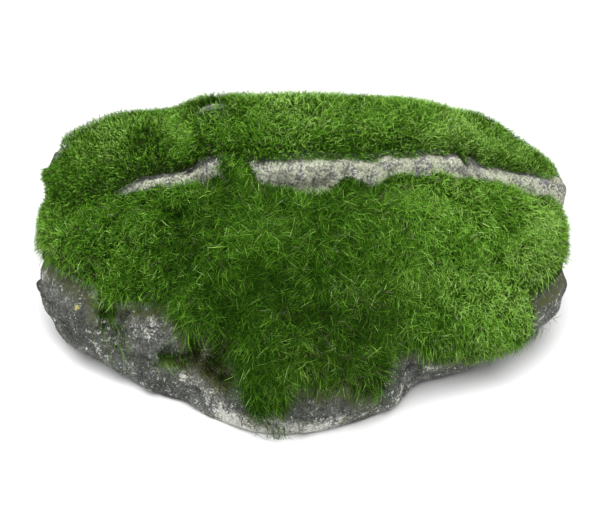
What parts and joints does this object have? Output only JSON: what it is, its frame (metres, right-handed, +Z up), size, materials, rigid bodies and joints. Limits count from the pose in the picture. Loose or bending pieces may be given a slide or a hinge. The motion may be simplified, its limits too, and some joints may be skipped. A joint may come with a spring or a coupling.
{
  "type": "mossy rock",
  "caption": "Weathered garden rock with a flat underside, a moss mat over its crown and another round its flanks, parted by a bare stone ledge.",
  "frame": {"origin": "middle of the bounding box's base, on the plane the rock rests on", "axes": "+X along the rock's long side, -Y towards the front, where the moss hangs lowest, +Z up"},
  "size_m": [0.354, 0.2386, 0.1607],
  "materials": {
    "stone": null,
    "moss": "green moss, a soft mat of fine upright strands"
  },
  "bodies": {
    "root": {"stone": "stone", "crown_moss": "moss", "flank_moss": "moss"}
  },
  "joints": []
}
